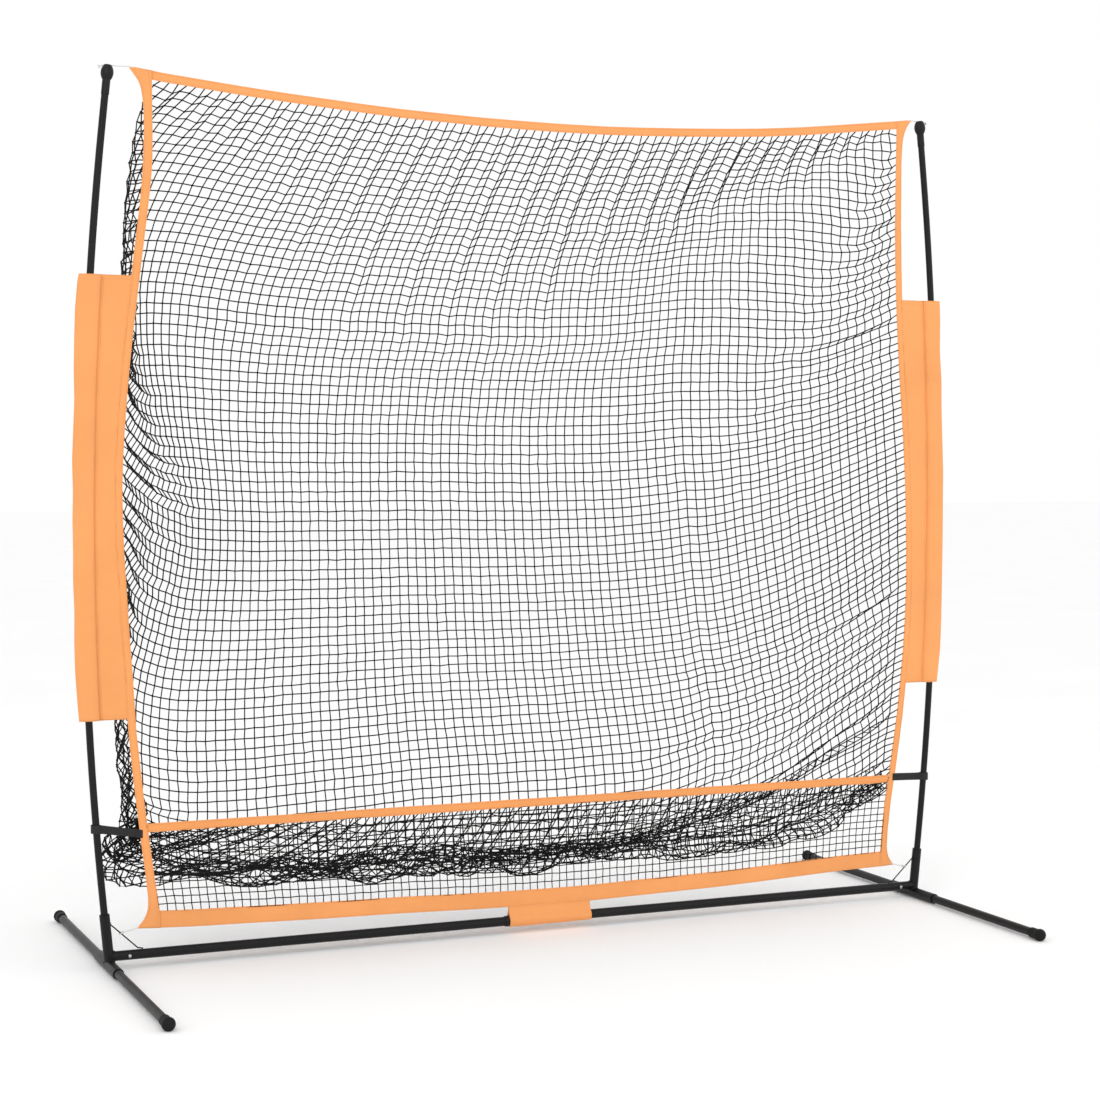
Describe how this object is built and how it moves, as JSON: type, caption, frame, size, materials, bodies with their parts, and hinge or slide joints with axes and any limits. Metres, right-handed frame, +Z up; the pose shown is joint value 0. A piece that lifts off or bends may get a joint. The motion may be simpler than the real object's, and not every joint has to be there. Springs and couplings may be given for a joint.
{
  "type": "golf chipping net",
  "caption": "Free-standing bow-pole practice net: steel base with pull-out feet, bowed side poles in fabric sleeves, orange border and a deep slack black catch net.",
  "frame": {"origin": "on the floor, midway between the four feet (bottom centre of the box)", "axes": "+X to the user's right, +Y away from the user on the side where the catch net hangs, +Z up"},
  "size_m": [2.2444, 1.1252, 1.998],
  "materials": {
    "black_steel": "satin powder coat",
    "bright_steel": "plain zinc-plated steel",
    "black_rubber": "matt moulded rubber",
    "black_plastic": "matt moulded plastic",
    "orange_fabric": "plain-weave polyester, light orange",
    "black_webbing": "woven webbing",
    "black_netting": "knotted polyester twine",
    "white_elastic": "braided elastic cord"
  },
  "bodies": {
    "frame": {"hub_left": "black_steel", "hook_wire_left": "black_steel", "crossbar_left": "black_steel", "button_spring_left": "bright_steel", "net_side_strip_left": "orange_fabric", "side_sleeve_left": "orange_fabric", "pole_strap_left": "black_webbing", "elastic_top_left": "white_elastic", "elastic_bottom_left": "white_elastic", "hub_right": "black_steel", "hook_wire_right": "black_steel", "crossbar_right": "black_steel", "button_spring_right": "bright_steel", "net_side_strip_right": "orange_fabric", "side_sleeve_right": "orange_fabric", "pole_strap_right": "black_webbing", "elastic_top_right": "white_elastic", "elastic_bottom_right": "white_elastic", "crossbar_coupler": "black_steel", "crossbar_collar": "black_plastic", "net_top_band": "orange_fabric", "net_bottom_band": "orange_fabric", "net_cross_band": "orange_fabric", "crossbar_sleeve": "orange_fabric", "catch_net": "black_netting", "lower_net": "black_netting"},
    "foot_front_left": {"foot_tube_front_left": "black_steel", "foot_cap_front_left": "black_rubber"},
    "foot_rear_left": {"foot_tube_rear_left": "black_steel", "foot_cap_rear_left": "black_rubber"},
    "pole_left": {"pole_lower_left": "black_steel", "pole_middle_left": "black_steel", "pole_upper_left": "black_steel", "pole_ferrules_left": "bright_steel", "pole_cap_left": "black_plastic"},
    "button_left": {"crossbar_button_left": "bright_steel"},
    "foot_front_right": {"foot_tube_front_right": "black_steel", "foot_cap_front_right": "black_rubber"},
    "foot_rear_right": {"foot_tube_rear_right": "black_steel", "foot_cap_rear_right": "black_rubber"},
    "pole_right": {"pole_lower_right": "black_steel", "pole_middle_right": "black_steel", "pole_upper_right": "black_steel", "pole_ferrules_right": "bright_steel", "pole_cap_right": "black_plastic"},
    "button_right": {"crossbar_button_right": "bright_steel"}
  },
  "joints": [
    {"name": "pole_lift_left", "type": "slide", "parent": "frame", "child": "pole_left", "axis": [-0.0958, 0, 0.9954], "range_m": [0, 0.055], "deforming": ["elastic_top_left"]},
    {"name": "foot_pull_front_left", "type": "slide", "parent": "frame", "child": "foot_front_left", "axis": [0, -1, 0], "range_m": [0, 0.09]},
    {"name": "foot_pull_rear_left", "type": "slide", "parent": "frame", "child": "foot_rear_left", "axis": [0, 1, 0], "range_m": [0, 0.09]},
    {"name": "button_press_left", "type": "slide", "parent": "frame", "child": "button_left", "axis": [0, 1, 0], "range_m": [0, 0.0043], "stiffness_N_per_m": 1200, "springref_m": -0.003, "deforming": ["button_spring_left"]},
    {"name": "pole_lift_right", "type": "slide", "parent": "frame", "child": "pole_right", "axis": [0.0958, 0, 0.9954], "range_m": [0, 0.055], "deforming": ["elastic_top_right"]},
    {"name": "foot_pull_front_right", "type": "slide", "parent": "frame", "child": "foot_front_right", "axis": [0, -1, 0], "range_m": [0, 0.09]},
    {"name": "foot_pull_rear_right", "type": "slide", "parent": "frame", "child": "foot_rear_right", "axis": [0, 1, 0], "range_m": [0, 0.09]},
    {"name": "button_press_right", "type": "slide", "parent": "frame", "child": "button_right", "axis": [0, 1, 0], "range_m": [0, 0.0043], "stiffness_N_per_m": 1200, "springref_m": -0.003, "deforming": ["button_spring_right"]}
  ]
}
